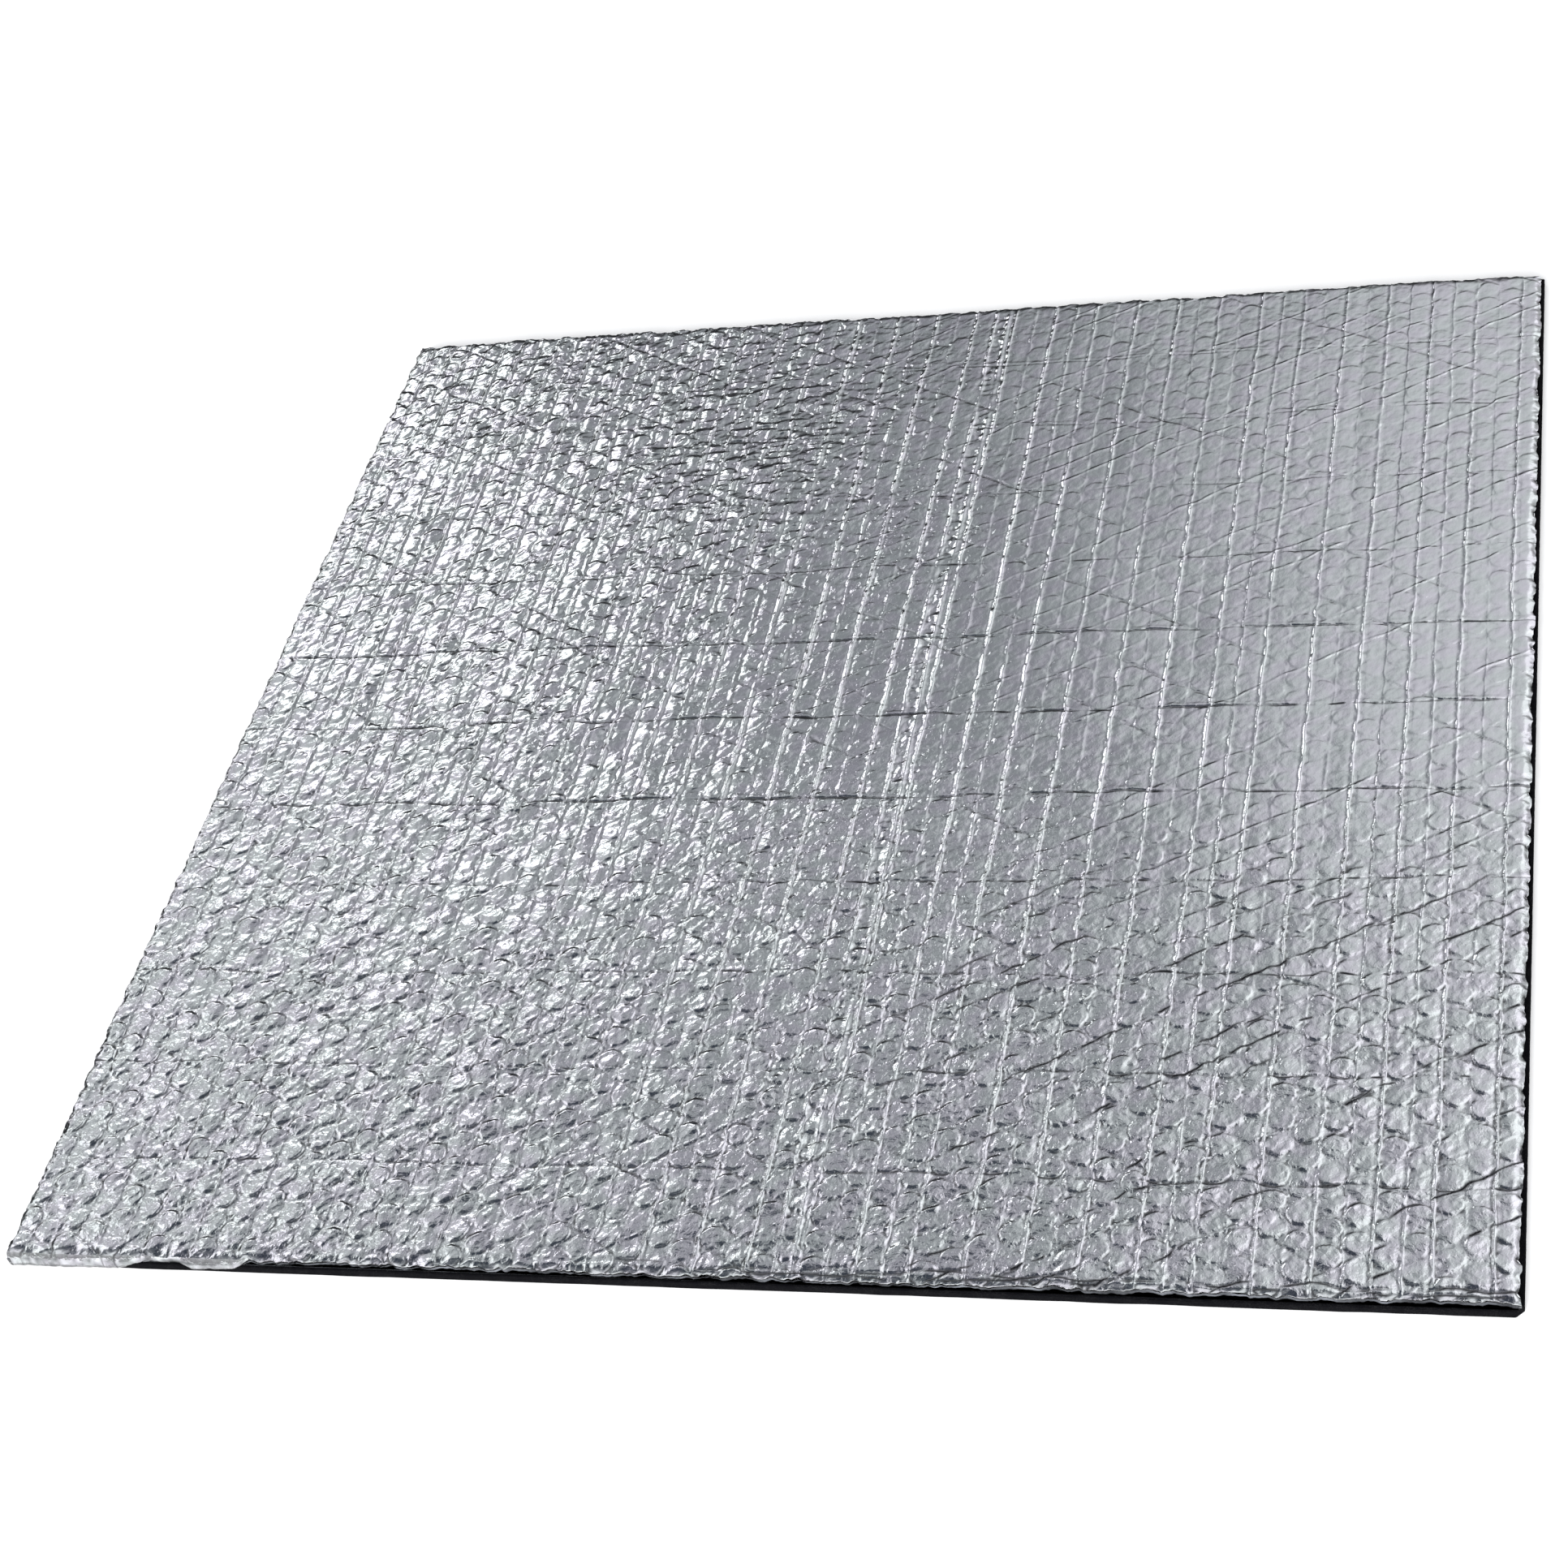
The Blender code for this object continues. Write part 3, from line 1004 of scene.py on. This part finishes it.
def make_floor():
    """A plain white floor just below the pad."""
    bpy.ops.mesh.primitive_plane_add(size=FLOOR_SIZE, location=(0, 0, -FLOOR_GAP))
    floor = bpy.context.object
    floor.name = "studio_floor"
    material, shader = new_material("studio_floor")
    nodes = Nodes(material)
    where = nodes.add("ShaderNodeTexCoord").outputs["Object"]
    nodes.join(nodes.ramp(nodes.noise(where, 0.6), FLOOR_WHITES), shader.inputs["Base Color"])
    shader.inputs["Roughness"].default_value = 0.9
    shader.inputs["Specular IOR Level"].default_value = 0.0
    floor.data.materials.append(material)


# Brightness of the studio's walls by height, as the sine of the elevation
WALL_TONES = ((0.0, 0.02), (0.30, 0.03), (0.42, 0.06), (0.50, 0.15), (0.57, 0.265), (0.68, 0.285),
              (0.80, 0.28), (1.0, 0.25))
WALL_TINT = (0.97, 1.0, 1.06)
DARKEST_WALL = 0.02
# Soft round panels on the walls, which the foil mirrors: azimuth (0 behind the pad, positive left) and
# elevation of the middle, angles where the edge starts and ends to fade, all in degrees, and
# brightness. A negative brightness darkens the wall.
WALL_PANELS = (
    (33, 33.5, 3, 8.5, 1.45),
    (46, 21, 3, 11, 1.0),
    (52, 46, 6, 20, 0.26),
    (-30, 42, 14, 38, 0.34),
    (2, 33, 8, 20, 0.04),
    (24, 42, 4, 12, -0.03),
    (12, 55, 4, 14, 0.055),
    (72, 44, 6, 18, 0.8),
    (-22, 44, 5, 14, 0.35),
    (-35, 66, 6, 22, 0.50),
    (90, 70, 10, 34, -0.30),
    (180, 8, 40, 120, 0.32),
    (180, 40, 12, 50, 0.25),
)
BACKGROUND_TONE = 1.0


def aim(azimuth, elevation):
    """Direction from the pad, as a unit vector."""
    a, e = math.radians(azimuth), math.radians(elevation)
    return -math.sin(a) * math.cos(e), math.cos(a) * math.cos(e), math.sin(e)


def make_world():
    """Studio walls with soft panels, and a plain background in their place where the camera looks at it."""
    world = bpy.data.worlds.new("studio")
    bpy.context.scene.world = world
    world.use_nodes = True
    nodes = Nodes(world)
    direction = nodes.add("ShaderNodeTexCoord").outputs["Generated"]
    split = nodes.add("ShaderNodeSeparateXYZ")
    nodes.join(direction, split.inputs["Vector"])
    stops = [(height, tuple(tone * tint for tint in WALL_TINT)) for height, tone in WALL_TONES]
    total = nodes.ramp(split.outputs["Z"], stops)
    for azimuth, elevation, inner, outer, brightness in WALL_PANELS:
        dot = nodes.add("ShaderNodeVectorMath", operation="DOT_PRODUCT")
        nodes.join(direction, dot.inputs[0])
        dot.inputs[1].default_value = aim(azimuth, elevation)
        edge = nodes.add("ShaderNodeMapRange", interpolation_type="SMOOTHSTEP")
        nodes.join(dot.outputs["Value"], edge.inputs["Value"])
        edge.inputs["From Min"].default_value = math.cos(math.radians(outer))
        edge.inputs["From Max"].default_value = math.cos(math.radians(inner))
        edge.inputs["To Max"].default_value = brightness
        both = nodes.add("ShaderNodeVectorMath", operation="ADD")
        nodes.join(total, both.inputs[0])
        nodes.join(edge.outputs["Result"], both.inputs[1])
        total = both.outputs["Vector"]
    lit = nodes.add("ShaderNodeVectorMath", operation="MAXIMUM")
    nodes.join(total, lit.inputs[0])
    lit.inputs[1].default_value = (DARKEST_WALL,) * 3
    walls = world.node_tree.nodes["Background"]
    nodes.join(lit.outputs["Vector"], walls.inputs["Color"])
    rays = nodes.add("ShaderNodeLightPath")
    backdrop = nodes.add("ShaderNodeBackground")
    backdrop.inputs["Color"].default_value = (BACKGROUND_TONE,) * 3 + (1.0,)
    mix = nodes.add("ShaderNodeMixShader")
    nodes.join(rays.outputs["Is Camera Ray"], mix.inputs["Fac"])
    nodes.join(walls.outputs["Background"], mix.inputs[1])
    nodes.join(backdrop.outputs["Background"], mix.inputs[2])
    nodes.join(mix.outputs["Shader"], world.node_tree.nodes["World Output"].inputs["Surface"])


def softbox(name, azimuth, elevation, distance, size, radiance):
    """A rectangular light aimed at the pad, which the foil doesn't mirror. Angles are as for the panels."""
    light = bpy.data.lights.new(name, "AREA")
    light.shape = "RECTANGLE"
    light.size, light.size_y = size
    light.energy = radiance * math.pi * size[0] * size[1]
    lamp = bpy.data.objects.new(name, light)
    lamp.location = [distance * part for part in aim(azimuth, elevation)]
    lamp.rotation_euler = (math.radians(elevation - 90), 0.0, math.radians(azimuth))
    lamp.visible_camera = False
    lamp.visible_glossy = False
    bpy.context.scene.collection.objects.link(lamp)


CAMERA_PLACE = (0.2869, -0.7177, 0.7069)
CAMERA_TURN = (45.552, 12.198, 10.74)  # degrees
CAMERA_LENS, CAMERA_SENSOR = 64.14, 36.0  # millimetres
CAMERA_SHIFT = (-0.0342, -0.0088)


def make_camera():
    """The camera at the photo's viewing angle."""
    data = bpy.data.cameras.new("camera")
    data.sensor_width = CAMERA_SENSOR
    data.lens = CAMERA_LENS
    data.shift_x, data.shift_y = CAMERA_SHIFT
    camera = bpy.data.objects.new("camera", data)
    camera.location = CAMERA_PLACE
    camera.rotation_euler = [math.radians(angle) for angle in CAMERA_TURN]
    bpy.context.scene.collection.objects.link(camera)
    bpy.context.scene.camera = camera


make_floor()
make_world()
softbox("front_softbox", azimuth=180, elevation=29, distance=7.0, size=(5.6, 4.6), radiance=11.5)
make_camera()
bpy.context.scene.view_settings.view_transform = "Standard"
